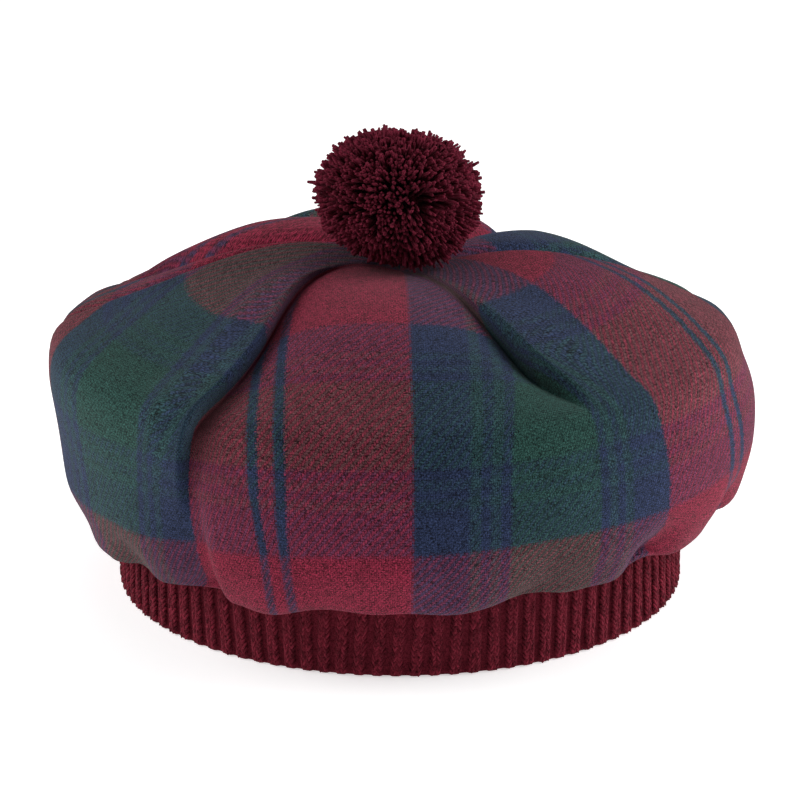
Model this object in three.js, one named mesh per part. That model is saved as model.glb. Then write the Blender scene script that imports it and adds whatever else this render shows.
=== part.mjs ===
// Tam o' shanter: a soft tartan crown, gathered into pleats under a yarn pompom and sewn to a
// ribbed knitted headband. Millimetres, +Z up. The band stands on z = 0 round the Z axis, and
// the hat's front is -Y. Azimuths are in degrees, from the front towards +X.
import * as THREE from 'three';

// Driving dimensions
const BAND_OUTER_RADIUS = 91.5;
const BAND_INNER_RADIUS = 86.9;
const BAND_HEIGHT = 34;
const RIB_COUNT = 96;
const RIB_DEPTH = 1.2;
const POINTS_PER_RIB = 2;
const CLOTH_WALL = 2;
const GAP = 0.3;
const POMPOM_RADIUS = 26.5;
const POMPOM_HALF_HEIGHT = 23;
const POMPOM_SEAT = 1.6; // the pompom sits on its tie this far above the gather
const POMPOM_OFFSET = -1.5; // towards +X from the middle
const POMPOM_COLUMNS = 22;
const POMPOM_ROWS = 11;

// The crown's resting outline, from the seam on the band, out over the drooping lip, up the
// side and in to the gather: radius and height.
const CROWN_OUTLINE = [
  { radius: 87.5, height: BAND_HEIGHT + GAP },
  { radius: 92.0, height: 33.9 },
  { radius: 96.2, height: 28.6 },
  { radius: 101.6, height: 25.0 },
  { radius: 107.0, height: 30.0 },
  { radius: 111.3, height: 43.0 },
  { radius: 113.0, height: 60.0 },
  { radius: 112.0, height: 74.0 },
  { radius: 107.8, height: 84.2 },
  { radius: 94.5, height: 90.0 },
  { radius: 76.0, height: 96.0 },
  { radius: 56.0, height: 102.0 },
  { radius: 36.0, height: 105.5 },
  { radius: 18.0, height: 105.5 },
  { radius: 0.0, height: 102.5 },
];
const ROWS_PER_STATION = 2;

// Turns rows of numbers into records with the named columns.
function table(columns, rows) {
  return rows.map((row) => Object.fromEntries(row.map((cell, i) => [columns[i], cell])));
}

// The pleats, in order round the crown. Each runs from the azimuth gathered, at the middle, to
// the azimuth spread, which it reaches at swing along the cloth from the middle, turning the
// earlier the greater its sweep. It opens from start and is gone at reach. depth is how far it
// sinks, before and after are its widths on its two sides, and lap is how far one side stands up
// along it: the side before it, or the side after it where lap is negative. puff is the swell of
// the lobe that follows it, which takes so many columns of the mesh.
const PLEAT_COLUMNS = [
  'gathered', 'spread', 'swing', 'sweep', 'start', 'reach',
  'depth', 'before', 'after', 'lap', 'puff', 'columns',
];
const PLEATS = table(
  PLEAT_COLUMNS,
  [
    [-98, -36, 100, 2.4, 12, 150, 5.5, 5, 34, 4.0, 7.0, 13],
    [24, 33, 110, 1.3, 30, 112, 7.5, 24, 6, -4.0, 6.0, 12],
    [112, 110, 120, 1.3, 0, 120, 8.0, 18, 14, 1.5, 1.8, 7],
    [145, 150, 105, 1.3, 0, 105, 6.0, 14, 14, 0.0, 3.0, 7],
    [160, 196, 105, 1.3, 0, 105, 6.0, 14, 14, 0.0, 6.0, 7],
    [172, 238, 105, 1.0, 0, 112, 6.5, 10, 12, -2.0, 4.5, 3],
    [192, 243, 85, 2.0, 0, 135, 9.5, 10, 12, -2.0, -1.0, 5],
    [206, 262, 90, 2.0, 0, 125, 7.5, 10, 14, -2.5, 1.5, 10],
  ],
);
const SOFT_END = 0.72; // fraction of its reach where a pleat starts to fade
const GATHER_LENGTH = 55; // pleats open from nothing over this length
const GATHERED_WIDTH = 0.3; // a pleat's width at the middle, as a fraction of its full width
const LOBE_FULL = 80; // a lobe swells to this distance from the middle along the cloth,
const LOBE_FADE = 75; // begins to flatten at this one,
const LOBE_END = 125; // and is flat at this one
const LOBE_ROUNDNESS = 0.8;
const LAP_WIDTH = 26; // a lap dies away over this length from its pleat
const LEAST_RADIUS = 12; // widths near the middle are measured at this radius
const COLUMN_CROWDING = 0.4; // how much the mesh's columns crowd towards the pleats

// Small tucks where the cloth is eased on to the band: their widths on their two sides, their
// depth, and how far up the side they show.
const TUCKS = table(['azimuth', 'before', 'after', 'depth', 'rise'], [
  [-34.5, 14, 3.5, 6.0, 30],
  [-9, 10, 10, 2.0, 10],
  [23.5, 10, 10, 5.0, 13],
  [46, 9, 9, 7.5, 12],
  [70, 9, 9, 5.0, 13],
  [98, 10, 10, 4.0, 13],
  [126, 10, 10, 6.0, 13],
  [155, 10, 10, 4.0, 13],
  [183, 10, 10, 6.0, 13],
  [214, 10, 10, 4.0, 13],
  [243, 10, 10, 5.0, 13],
  [275, 10, 10, 4.0, 13],
  [303, 10, 10, 3.0, 13],
]);
const LIP_LENGTH = 23; // from the seam to the lip along the cloth
const LIP_RADIUS = 104;
const LIP_INWARD = 10; // tucks die away over this length towards the seam

// The left side is full above and droops below; the right side is the other way about. A bulge
// swells the right side and sinks the left, round its height.
const DROOP = 5;
const DROOP_HEIGHTS = [30, 85];
const BULGES = table(['height', 'spread', 'out'], [
  [24, 9, 3.5],
  [45, 22, 2.8],
  [80, 12, -2.0],
]);
const SEAM_HELD = 5; // the cloth is held on the band over this length,
const SEAM_FREE = 18; // and hangs free from this one
// The top slopes down towards the back, beyond a radius and above a height.
const BACK_FALL = 9;
const BACK_SHARPNESS = 2.5;
const BACK_RADII = [65, 95];
const BACK_HEIGHTS = [60, 75];

const smooth = THREE.MathUtils.smoothstep;
const signedDegrees = (a) => THREE.MathUtils.euclideanModulo(a + 180, 360) - 180;
const bell = (x) => Math.exp(-x * x);

// A point at an azimuth, radius and height.
function atAzimuth(azimuth, radius, height) {
  const a = THREE.MathUtils.degToRad(azimuth);
  return new THREE.Vector3(radius * Math.sin(a), -radius * Math.cos(a), height);
}

// Joins rows of points that run round the Z axis into one closed skin. A row of one point is a
// pole. Rows that climb an outside wall have their faces outwards.
function skin(rows, loop) {
  const positions = [];
  const starts = rows.map((row) => {
    const start = positions.length / 3;
    row.forEach((p) => positions.push(p.x, p.y, p.z));
    return start;
  });
  const index = [];
  const strips = loop ? rows.length : rows.length - 1;
  for (let j = 0; j < strips; j += 1) {
    const k = (j + 1) % rows.length;
    const count = Math.max(rows[j].length, rows[k].length);
    for (let i = 0; i < count; i += 1) {
      const next = (i + 1) % count;
      const low = (c) => starts[j] + (rows[j].length === 1 ? 0 : c);
      const high = (c) => starts[k] + (rows[k].length === 1 ? 0 : c);
      if (rows[j].length > 1) index.push(low(i), low(next), high(next));
      if (rows[k].length > 1) index.push(low(i), high(next), high(i));
    }
  }
  const geometry = new THREE.BufferGeometry();
  geometry.setAttribute('position', new THREE.Float32BufferAttribute(positions, 3));
  geometry.setIndex(index);
  geometry.computeVertexNormals();
  return geometry;
}

// Azimuth of a pleat's line at a distance from the middle along the cloth.
function pleatAzimuth(pleat, distance) {
  const left = Math.max(0, 1 - distance / pleat.swing);
  return pleat.spread + (pleat.gathered - pleat.spread) * left ** pleat.sweep;
}

// How far the cloth stands out from its resting outline, along the outline's normal: the lobes'
// swell between the pleats, less the pleats' valleys with a lap along them, less the tucks.
function standOut(azimuth, along, length, radius) {
  const distance = length - along;
  const widening = THREE.MathUtils.lerp(GATHERED_WIDTH, 1, smooth(distance, 0, LOBE_FULL));
  const swell = smooth(distance, 0, LOBE_FULL) * (1 - smooth(distance, LOBE_FADE, LOBE_END));
  let out = 0;
  PLEATS.forEach((pleat, i) => {
    const line = pleatAzimuth(pleat, distance);
    const turn = THREE.MathUtils.degToRad(signedDegrees(azimuth - line));
    const offset = turn * Math.max(radius, LEAST_RADIUS);
    const gap = Math.abs(offset);
    const width = (offset < 0 ? pleat.before : pleat.after) * widening;
    const flank = Math.max(0, 1 - gap / width);
    const open = smooth(distance, pleat.start, pleat.start + GATHER_LENGTH);
    const held = open * (1 - smooth(distance, SOFT_END * pleat.reach, pleat.reach));
    out -= pleat.depth * held * flank * flank;
    if (offset * pleat.lap < 0) {
      out += Math.abs(pleat.lap) * held * (1 - smooth(gap, 0, LAP_WIDTH)) * smooth(gap, 0, width);
    }

    const following = pleatAzimuth(PLEATS[(i + 1) % PLEATS.length], distance);
    const span = THREE.MathUtils.euclideanModulo(following - line, 360);
    const share = THREE.MathUtils.euclideanModulo(azimuth - line, 360) / span;
    if (share < 1) out += pleat.puff * swell * Math.sin(Math.PI * share) ** LOBE_ROUNDNESS;
  });
  TUCKS.forEach((tuck) => {
    const offset = THREE.MathUtils.degToRad(signedDegrees(azimuth - tuck.azimuth)) * LIP_RADIUS;
    const up = (along - LIP_LENGTH) / (along > LIP_LENGTH ? tuck.rise : LIP_INWARD);
    out -= tuck.depth * bell(offset / (offset < 0 ? tuck.before : tuck.after)) * bell(up);
  });
  return out;
}

// A point of the crown's outer surface.
function crownPoint(outline, length, t, azimuth) {
  const station = outline.getPoint(t);
  const tangent = outline.getTangent(t);
  const along = length * outlineShare(outline, t);
  const free = smooth(along, SEAM_HELD, SEAM_FREE);
  const out = standOut(azimuth, along, length, station.x) * free;
  let radius = station.x + tangent.y * out;
  let height = station.y - tangent.x * out;
  const turn = THREE.MathUtils.degToRad(azimuth);
  const side = Math.sin(turn) * free;
  height += DROOP * side * (1 - smooth(height, ...DROOP_HEIGHTS));
  BULGES.forEach((bulge) => {
    radius += bulge.out * side * bell((height - bulge.height) / bulge.spread);
  });
  const back = ((1 - Math.cos(turn)) / 2) ** BACK_SHARPNESS;
  height -= BACK_FALL * back * smooth(station.x, ...BACK_RADII) * smooth(height, ...BACK_HEIGHTS);
  return atAzimuth(azimuth, radius, height);
}

// Share of the outline's length that lies before its parameter t.
function outlineShare(outline, t) {
  const lengths = outline.getLengths();
  const place = t * (lengths.length - 1);
  const before = Math.min(Math.floor(place), lengths.length - 2);
  const between = THREE.MathUtils.lerp(lengths[before], lengths[before + 1], place - before);
  return between / lengths[lengths.length - 1];
}

// Azimuths of one row's columns, crowded towards the pleats so that a column follows each one.
function columnAzimuths(distance) {
  return PLEATS.flatMap((pleat, i) => {
    const from = pleatAzimuth(pleat, distance);
    const to = pleatAzimuth(PLEATS[(i + 1) % PLEATS.length], distance);
    const span = THREE.MathUtils.euclideanModulo(to - from, 360);
    return Array.from({ length: pleat.columns }, (_, c) => {
      const s = c / pleat.columns;
      return from + span * (s - (COLUMN_CROWDING * Math.sin(2 * Math.PI * s)) / (2 * Math.PI));
    });
  });
}

// The crown is a wall of cloth, closed at the gather and open at the seam: its outer surface from
// the seam up, then its inner surface from the gather back down.
function makeCrown() {
  const outline = new THREE.SplineCurve(CROWN_OUTLINE.map((s) => new THREE.Vector2(s.radius, s.height)));
  outline.arcLengthDivisions = 400;
  const length = outline.getLength();
  const rowCount = (CROWN_OUTLINE.length - 1) * ROWS_PER_STATION;
  const outside = [];
  const inside = [];
  const step = 1e-3;
  const aside = 0.5;
  for (let j = 0; j < rowCount; j += 1) {
    const t = j / rowCount;
    const azimuths = columnAzimuths(length * (1 - outlineShare(outline, t)));
    outside.push(azimuths.map((a) => crownPoint(outline, length, t, a)));
    inside.push(azimuths.map((a, i) => {
      const round = crownPoint(outline, length, t, a + aside).sub(crownPoint(outline, length, t, a - aside));
      const climb = crownPoint(outline, length, t + step, a).sub(outside[j][i]);
      const normal = round.cross(climb).normalize();
      return outside[j][i].clone().addScaledVector(normal, -CLOTH_WALL);
    }));
  }
  const top = crownPoint(outline, length, 1, 0);
  const underTop = top.clone().setZ(top.z - CLOTH_WALL);
  return skin([...outside, [top], [underTop], ...inside.reverse()], true);
}

// The headband: a ring of double knit with vertical ribs, flat below and rounded over above.
function makeBand() {
  const columns = RIB_COUNT * POINTS_PER_RIB;
  const rounding = 2.8;
  const foot = { chamfer: 0.6, height: 1.5 };
  const wall = [
    { radius: BAND_INNER_RADIUS, height: 0, ribbed: 0 },
    { radius: BAND_OUTER_RADIUS - foot.chamfer, height: 0, ribbed: 1 },
    { radius: BAND_OUTER_RADIUS, height: foot.height, ribbed: 1 },
    { radius: BAND_OUTER_RADIUS, height: BAND_HEIGHT - 2 * rounding, ribbed: 1 },
    { radius: BAND_OUTER_RADIUS - rounding, height: BAND_HEIGHT, ribbed: 0 },
    { radius: BAND_INNER_RADIUS, height: BAND_HEIGHT, ribbed: 0 },
  ];
  const rows = wall.map(({ radius, height, ribbed }) => Array.from({ length: columns }, (_, i) => {
    const groove = i % POINTS_PER_RIB === 0 ? 0 : RIB_DEPTH * ribbed;
    return atAzimuth((360 * i) / columns, radius - groove, height);
  }));
  return skin(rows, true);
}

// The pompom's outer form: a ball a little wider than it is tall, lumpy as trimmed yarn is.
function makePompom() {
  const middle = CROWN_OUTLINE.at(-1).height + POMPOM_SEAT + POMPOM_HALF_HEIGHT;
  const lump = { size: 0.9, around: 5, up: 4, lean: 2 };
  const rows = [[new THREE.Vector3(0, 0, middle - POMPOM_HALF_HEIGHT)]];
  for (let j = 1; j < POMPOM_ROWS; j += 1) {
    const rise = (Math.PI * j) / POMPOM_ROWS - Math.PI / 2;
    rows.push(Array.from({ length: POMPOM_COLUMNS }, (_, i) => {
      const azimuth = (360 * i) / POMPOM_COLUMNS;
      const turn = THREE.MathUtils.degToRad(azimuth);
      const wave = Math.sin(lump.around * turn + lump.lean * rise) * Math.cos(lump.up * rise);
      const radius = (POMPOM_RADIUS - lump.size + lump.size * wave) * Math.cos(rise);
      return atAzimuth(azimuth, radius, middle + POMPOM_HALF_HEIGHT * Math.sin(rise));
    }));
  }
  rows.push([new THREE.Vector3(0, 0, middle + POMPOM_HALF_HEIGHT)]);
  return skin(rows, false).translate(POMPOM_OFFSET, 0, 0);
}

function piece(name, geometry, color, roughness) {
  const material = new THREE.MeshStandardMaterial({ color, roughness, metalness: 0 });
  const mesh = new THREE.Mesh(geometry, material);
  mesh.name = name;
  return mesh;
}

const hat = new THREE.Group();
hat.add(piece('crown', makeCrown(), '#47303d', 0.95));
hat.add(piece('band', makeBand(), '#561c24', 0.95));
hat.add(piece('pompom', makePompom(), '#331016', 0.9));

export default hat;
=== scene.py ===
"""Tam o' shanter: a tartan crown gathered under a yarn pompom and sewn to a ribbed knitted band.

Everything is in the hat's own frame: +Z up, the band standing on z = 0 round the Z axis, and the hat's
front at -Y. Sizes in the classes are millimetres and azimuths are degrees from the front towards +X;
meshes are written in metres.
"""

import logging
import math
from dataclasses import dataclass
from enum import Enum

import bpy
import numpy as np
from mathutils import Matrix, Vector


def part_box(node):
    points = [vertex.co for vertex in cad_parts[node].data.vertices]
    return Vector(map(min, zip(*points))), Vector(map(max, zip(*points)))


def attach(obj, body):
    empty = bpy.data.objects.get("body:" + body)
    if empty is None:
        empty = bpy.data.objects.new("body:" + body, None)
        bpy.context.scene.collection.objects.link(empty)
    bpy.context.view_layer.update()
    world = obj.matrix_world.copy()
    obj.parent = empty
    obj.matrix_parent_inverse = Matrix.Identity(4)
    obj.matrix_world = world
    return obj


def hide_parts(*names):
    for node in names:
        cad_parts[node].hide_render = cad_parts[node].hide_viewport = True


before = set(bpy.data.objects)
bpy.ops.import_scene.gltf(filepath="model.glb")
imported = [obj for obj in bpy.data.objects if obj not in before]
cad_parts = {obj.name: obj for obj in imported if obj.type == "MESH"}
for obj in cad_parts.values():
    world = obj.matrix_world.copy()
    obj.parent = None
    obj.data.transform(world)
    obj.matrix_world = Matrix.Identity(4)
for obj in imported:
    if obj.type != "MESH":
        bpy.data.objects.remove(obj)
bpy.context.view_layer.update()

LOG = logging.getLogger("tam")
MM = 0.001
DEGREE = math.pi / 180
BODY = "root"
# Attribute of the yarn pieces: a random tone for each strand and knit leg, and painted shade on the band's
# ground, the pompom's roots and its core.
TONE_AND_SHADE = "tone_and_shade"

Colour = tuple[float, float, float]

RIPPLE_LENGTHS = (0.7, 1.5)  # shortest and longest wave over the wavelength asked for
RIPPLE_LEVEL = 0.6
NOISE_ROUGHNESS = 0.6
MIX_COLOURS = (6, 7)  # the Mix node's two colour inputs
MIX_RESULT = 2
WHITE: Colour = (1.0, 1.0, 1.0)
TINY = 1e-6


# --- numbers on arrays ------------------------------------------------------------------------


def smooth(x: np.ndarray) -> np.ndarray:
    """A rise from 0 to 1 as x goes from 0 to 1, level at both ends: 3x^2 - 2x^3."""
    x = np.clip(x, 0, 1)
    return x * x * (3 - 2 * x)


def stretch(x: np.ndarray, low: float, high: float) -> np.ndarray:
    """Eases from 0 at low to 1 at high."""
    return smooth((x - low) / (high - low))


def bell(x: np.ndarray) -> np.ndarray:
    """A bump of height 1 and width about 1: exp(-x^2)."""
    return np.exp(-x * x)


def signed_degrees(angle: np.ndarray) -> np.ndarray:
    """The same angle between -180 and 180 degrees."""
    return (angle + 180) % 360 - 180


def unit(vectors: np.ndarray) -> np.ndarray:
    """The vectors at length 1."""
    return vectors / np.linalg.norm(vectors, axis=-1, keepdims=True)


def around(azimuth: np.ndarray, radius: np.ndarray, height: np.ndarray) -> np.ndarray:
    """Points at an azimuth, radius and height: (r sin a, -r cos a, z)."""
    turn = azimuth * DEGREE
    return np.stack(np.broadcast_arrays(radius * np.sin(turn), -radius * np.cos(turn), height), axis=-1)


def ripple(place: np.ndarray, waves: int, wavelength: float, seed: int) -> np.ndarray:
    """A soft, seeded unevenness between about -1 and 1.

    It is the mean of plane sine waves whose directions are spread at random over the sphere and whose
    lengths lie round the one asked for.

    Args:
        place: points, in millimetres, along the last axis.
        waves: how many sine waves are added.
        wavelength: their usual length in millimetres.
        seed: the draw's seed.

    Returns:
        One value for each point.
    """
    draw = np.random.default_rng(seed)
    heading = unit(draw.normal(size=(waves, 3)))
    length = wavelength * draw.uniform(*RIPPLE_LENGTHS, waves)
    phase = draw.uniform(0, 2 * np.pi, waves)
    swing = np.sin(2 * np.pi * (place @ heading.T) / length + phase)
    return swing.mean(axis=-1) * math.sqrt(waves) * RIPPLE_LEVEL


# --- meshes from arrays -----------------------------------------------------------------------


def make_object(name: str, points: np.ndarray, faces: list[np.ndarray]) -> bpy.types.Object:
    """Puts points and faces into a smooth-shaded mesh object at the origin.

    Args:
        name: the piece's name.
        points: millimetres, one row for each vertex.
        faces: arrays of vertex numbers, one row for each face; each array has its own number of corners.

    Returns:
        The new object, linked into the scene.
    """
    mesh = bpy.data.meshes.new(name)
    corners = np.concatenate([block.ravel() for block in faces])
    sizes = np.concatenate([np.full(len(block), block.shape[1]) for block in faces])
    mesh.vertices.add(len(points))
    mesh.vertices.foreach_set("co", (points * MM).astype(np.float32).ravel())
    mesh.loops.add(len(corners))
    mesh.loops.foreach_set("vertex_index", corners.astype(np.int32))
    mesh.polygons.add(len(sizes))
    mesh.polygons.foreach_set("loop_start", (np.cumsum(sizes) - sizes).astype(np.int32))
    mesh.polygons.foreach_set("use_smooth", np.ones(len(sizes), dtype=bool))
    mesh.update(calc_edges=True)
    mesh.validate()
    piece = bpy.data.objects.new(name, mesh)
    bpy.context.scene.collection.objects.link(piece)
    return piece


def grid_faces(rows: int, columns: int, close_rows: bool = False) -> np.ndarray:
    """Quads of a grid whose columns close on themselves, facing out where rows climb an outside wall.

    Args:
        rows: rows of points.
        columns: points in each row, running round anticlockwise seen from above.
        close_rows: whether the last row joins the first.

    Returns:
        Four vertex numbers for each face.
    """
    strips = rows if close_rows else rows - 1
    row, column = np.mgrid[0:strips, 0:columns]
    above = (row + 1) % rows
    right = (column + 1) % columns
    quads = (row * columns + column, row * columns + right, above * columns + right, above * columns + column)
    return np.stack(quads, axis=-1).reshape(-1, 4)


def paint_uv(piece: bpy.types.Object, layer: str, coordinates: np.ndarray) -> None:
    """Writes a UV map with one pair of coordinates for each face corner, in the mesh's own order."""
    uv = piece.data.uv_layers.new(name=layer)
    uv.uv.foreach_set("vector", coordinates.astype(np.float32).ravel())


def paint_values(piece: bpy.types.Object, name: str, values: np.ndarray) -> None:
    """Stores one number for each vertex as an attribute."""
    attribute = piece.data.attributes.new(name, "FLOAT", "POINT")
    attribute.data.foreach_set("value", values.astype(np.float32).ravel())


def repeat_faces(blocks: tuple[np.ndarray, ...], count: int, each: int) -> list[np.ndarray]:
    """Faces of many pieces that are all alike, whose vertices follow one another.

    Args:
        blocks: the faces of one piece, as vertex numbers.
        count: how many pieces there are.
        each: how many vertices a piece has.

    Returns:
        One array of faces for each block.
    """
    start = (np.arange(count) * each)[:, None, None]
    return [(block[None] + start).reshape(-1, block.shape[1]) for block in blocks]


def finish_pieces(
    pieces: list[bpy.types.Object], material: bpy.types.Material, node: str
) -> None:
    """Dresses pieces, makes them ride on the hat and hides the node that they replace.

    Args:
        pieces: the pieces that replace the node.
        material: their material.
        node: the node that they replace, which is hidden.
    """
    for piece in pieces:
        piece.data.materials.append(material)
        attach(piece, BODY)
    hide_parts(node)


# --- shader maths -----------------------------------------------------------------------------


class Value:
    """A number socket that Python's operators work on; each operator adds one Math node."""

    def __init__(self, tree: "Tree", socket: bpy.types.NodeSocket) -> None:
        """Wraps a socket of a material's tree."""
        self.tree = tree
        self.socket = socket

    def math(self, operation: str, *others: "Value | float", first: bool = True) -> "Value":
        """Adds one Math node.

        Args:
            operation: the node's operation.
            others: the operation's other values.
            first: whether this value comes before the others.

        Returns:
            The node's result.
        """
        terms = [self, *others] if first else [*others, self]
        node = self.tree.node("ShaderNodeMath", {"operation": operation}, dict(enumerate(terms)))
        return Value(self.tree, node.outputs[0])

    def __add__(self, other: "Value | float") -> "Value":
        """This value plus the other."""
        return self.math("ADD", other)

    def __radd__(self, other: float) -> "Value":
        """A number plus this value."""
        return self.math("ADD", other)

    def __sub__(self, other: "Value | float") -> "Value":
        """This value less the other."""
        return self.math("SUBTRACT", other)

    def __rsub__(self, other: float) -> "Value":
        """A number less this value."""
        return self.math("SUBTRACT", other, first=False)

    def __mul__(self, other: "Value | float") -> "Value":
        """This value times the other."""
        return self.math("MULTIPLY", other)

    def __rmul__(self, other: float) -> "Value":
        """A number times this value."""
        return self.math("MULTIPLY", other)

    def __truediv__(self, other: "Value | float") -> "Value":
        """This value divided by the other."""
        return self.math("DIVIDE", other)

    def floor(self) -> "Value":
        """The whole number below."""
        return self.math("FLOOR")

    def wave(self) -> "Value":
        """The sine."""
        return self.math("SINE")

    def higher(self, other: "Value | float") -> "Value":
        """The higher of two values."""
        return self.math("MAXIMUM", other)

    def fold(self, length: float) -> "Value":
        """Goes up and down between 0 and length as the value rises."""
        return self.math("PINGPONG", length)

    def ramp(self, low: float, high: float) -> "Value":
        """A smooth rise from 0 to 1.

        Args:
            low: where it starts.
            high: where it ends.

        Returns:
            The rise.
        """
        settings = {"interpolation_type": "SMOOTHSTEP"}
        node = self.tree.node("ShaderNodeMapRange", settings, {"Value": self, 1: low, 2: high})
        return Value(self.tree, node.outputs["Result"])

    def between(self, low: float, high: float) -> "Value":
        """Carries 0..1 to low..high."""
        return self * (high - low) + low


class Tree:
    """A material's node tree, with one method that adds any node."""

    def __init__(self, name: str) -> None:
        """Starts a material that holds only its output.

        Args:
            name: the material's name.
        """
        self.material = bpy.data.materials.new(name)
        self.material.use_nodes = True
        self.nodes = self.material.node_tree.nodes
        self.nodes.clear()
        self.output = self.nodes.new("ShaderNodeOutputMaterial")

    def node(self, kind: str, settings: dict, inputs: dict) -> bpy.types.Node:
        """Adds a node.

        Args:
            kind: the node's type.
            settings: its properties, or a ramp's "stops" as (place, colour) pairs.
            inputs: its sockets' values, colours or links, by name or number.

        Returns:
            The node.
        """
        node = self.nodes.new(kind)
        for key, value in settings.items():
            if key == "stops":
                self._set_stops(node.color_ramp, value)
            else:
                setattr(node, key, value)
        for key, value in inputs.items():
            self._feed(node.inputs[key], value)
        return node

    def _feed(
        self, socket: bpy.types.NodeSocket, value: "Value | bpy.types.NodeSocket | float | tuple"
    ) -> None:
        """Links a socket or sets its number or colour.

        Args:
            socket: the socket.
            value: another socket, a number, a vector or a colour.
        """
        if isinstance(value, Value):
            value = value.socket
        if isinstance(value, bpy.types.NodeSocket):
            self.material.node_tree.links.new(value, socket)
        elif isinstance(value, tuple) and socket.type == "RGBA":
            socket.default_value = (*value, 1.0)
        else:
            socket.default_value = value

    @staticmethod
    def _set_stops(ramp: bpy.types.ColorRamp, stops: list[tuple[float, Colour]]) -> None:
        """Gives a colour ramp its stops.

        Args:
            ramp: the ramp.
            stops: each stop's place and colour, in rising order.
        """
        while len(ramp.elements) < len(stops):
            ramp.elements.new(1.0)
        for element, (place, colour) in zip(ramp.elements, stops):
            element.position = place
            element.color = (*colour, 1.0)

    def value(self, node: bpy.types.Node, output: str | int = 0) -> Value:
        """A node's output as a value for maths."""
        return Value(self, node.outputs[output])

    def noise(
        self, place: bpy.types.NodeSocket, scale: float, detail: float = 2.0, twist: float = 0.0
    ) -> Value:
        """Soft noise from 0 to 1.

        Args:
            place: the coordinates that it is read at.
            scale: bumps for each unit of the coordinates.
            detail: octaves of finer noise.
            twist: how far the noise is pulled into curls.

        Returns:
            The noise.
        """
        inputs = {"Vector": place, "Scale": scale, "Detail": detail, "Distortion": twist}
        inputs["Roughness"] = NOISE_ROUGHNESS
        return self.value(self.node("ShaderNodeTexNoise", {}, inputs))

    def stretched(
        self, place: bpy.types.NodeSocket, scale: tuple[float, float, float]
    ) -> bpy.types.NodeSocket:
        """Coordinates multiplied along each axis."""
        node = self.node("ShaderNodeVectorMath", {"operation": "MULTIPLY"}, {0: place, 1: scale})
        return node.outputs[0]

    def mix(
        self,
        factor: "Value | float",
        first: "bpy.types.NodeSocket | Colour",
        second: "bpy.types.NodeSocket | Colour",
        blend: str = "MIX",
    ) -> bpy.types.NodeSocket:
        """Mixes two colours.

        Args:
            factor: how much of the second.
            first: a colour or its socket.
            second: a colour or its socket.
            blend: the way of mixing.

        Returns:
            The mixed colour's socket.
        """
        settings = {"data_type": "RGBA", "blend_type": blend}
        colours = dict(zip(MIX_COLOURS, (first, second)))
        node = self.node("ShaderNodeMix", settings, {"Factor": factor, **colours})
        return node.outputs[MIX_RESULT]

    def grey(self, level: Value) -> bpy.types.NodeSocket:
        """A grey of that level, for multiplying colours."""
        return self.node("ShaderNodeCombineColor", {}, {0: level, 1: level, 2: level}).outputs[0]

    def surface(
        self, cloth: "Sheen", colour: bpy.types.NodeSocket, height: Value, depth: float
    ) -> bpy.types.Material:
        """Ends the tree in a fibrous surface.

        Args:
            cloth: how its fibres catch the light.
            colour: the base colour.
            height: the surface's height from 0 to 1.
            depth: that height in metres.

        Returns:
            The finished material.
        """
        relief = {"Strength": cloth.relief, "Distance": depth, "Height": height}
        bump = self.node("ShaderNodeBump", {}, relief)
        inputs = {
            "Base Color": colour,
            "Roughness": cloth.roughness,
            "Specular IOR Level": cloth.shine,
            "Sheen Weight": cloth.fuzz,
            "Sheen Roughness": cloth.fuzz_spread,
            "Sheen Tint": cloth.fuzz_tint,
            "Normal": bump.outputs[0],
        }
        shader = self.node("ShaderNodeBsdfPrincipled", {}, inputs)
        self.material.node_tree.links.new(shader.outputs[0], self.output.inputs[0])
        return self.material


# --- finishes ---------------------------------------------------------------------------------


@dataclass(frozen=True)
class Sheen:
    """How a fibrous surface catches the light; the same all over it."""

    roughness: float = 0.95
    shine: float = 0.15
    fuzz: float = 0.05
    fuzz_spread: float = 0.5
    fuzz_tint: Colour = WHITE
    relief: float = 0.8


class Dye(Enum):
    """The wool's dyes, as linear colours."""

    CRIMSON = (0.164, 0.012, 0.031)
    NAVY = (0.0155, 0.0245, 0.060)
    GREEN = (0.0145, 0.048, 0.040)
    PINE = (0.016, 0.040, 0.050)
    BURGUNDY = (0.125, 0.012, 0.022)
    WINE = (0.090, 0.0085, 0.019)


@dataclass(frozen=True)
class Stripe:
    """One stripe of the tartan: its dye and its width."""

    dye: Dye
    width: float


# Half of the warp's sett, from the middle of the double line's crimson to the middle of the green.
WARP_HALF_SETT = (
    Stripe(Dye.CRIMSON, 2.3),
    Stripe(Dye.NAVY, 3.4),
    Stripe(Dye.CRIMSON, 36.5),
    Stripe(Dye.NAVY, 17.0),
    Stripe(Dye.PINE, 3.4),
    Stripe(Dye.NAVY, 3.4),
    Stripe(Dye.PINE, 3.4),
    Stripe(Dye.NAVY, 3.4),
    Stripe(Dye.GREEN, 17.2),
)
SETT = 2 * sum(stripe.width for stripe in WARP_HALF_SETT)
# Half of the weft's sett: the same, without the double line.
WEFT_HALF_SETT = (Stripe(Dye.CRIMSON, 42.2), *WARP_HALF_SETT[3:])


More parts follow.
